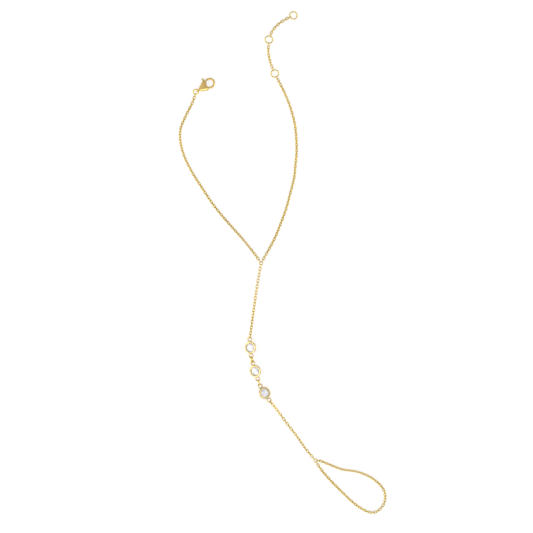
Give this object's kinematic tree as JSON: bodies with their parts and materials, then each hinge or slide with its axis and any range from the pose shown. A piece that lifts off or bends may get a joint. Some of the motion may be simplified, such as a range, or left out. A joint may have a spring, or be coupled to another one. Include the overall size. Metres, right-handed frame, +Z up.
{
  "type": "hand chain bracelet",
  "caption": "Hand chain: fine cable chain for the wrist with a lobster clasp and extender rings, round stones in cups along the back of the hand, and a chain loop for a finger.",
  "frame": {"origin": "middle of the whole piece as it lies, on the surface under it", "axes": "+Z up from the surface, +Y from the finger loop to the extender's last ring, +X to the right"},
  "size_m": [0.0778, 0.1883, 0.0031],
  "materials": {
    "chain_gold": "polished gold plate",
    "cup_gold": "polished gold plate",
    "clasp_gold": "cast and tumbled gold plate, softer on the flat faces",
    "clear_stone": "faceted and polished"
  },
  "bodies": {
    "bracelet": {"wrist_chain_clasp_side": "chain_gold", "wrist_chain_ring_side": "chain_gold", "extender_chain_near": "chain_gold", "extender_chain_far": "chain_gold", "hand_chain_upper": "chain_gold", "hand_chain_lower": "chain_gold", "finger_loop_chain": "chain_gold", "wrist_join_ring": "chain_gold", "finger_join_ring": "chain_gold", "clasp_ring": "chain_gold", "extender_ring_first": "chain_gold", "extender_ring_middle": "chain_gold", "extender_ring_end": "chain_gold", "between_link_1": "chain_gold", "between_link_2": "chain_gold", "setting_1": "cup_gold", "setting_2": "cup_gold", "setting_3": "cup_gold", "stone_1": "clear_stone", "stone_2": "clear_stone", "stone_3": "clear_stone", "clasp_body": "clasp_gold", "clasp_pin": "clasp_gold"},
    "lever": {"clasp_lever": "clasp_gold"}
  },
  "joints": [
    {"name": "lever_hinge", "type": "hinge", "parent": "bracelet", "child": "lever", "pos_m": [-0.02868, 0.06532, 0.00138], "axis": [-0.1264, 0.2063, 0.9703], "range_deg": [0, 20], "stiffness_Nm_per_rad": 0.008, "springref_deg": -14.32}
  ]
}
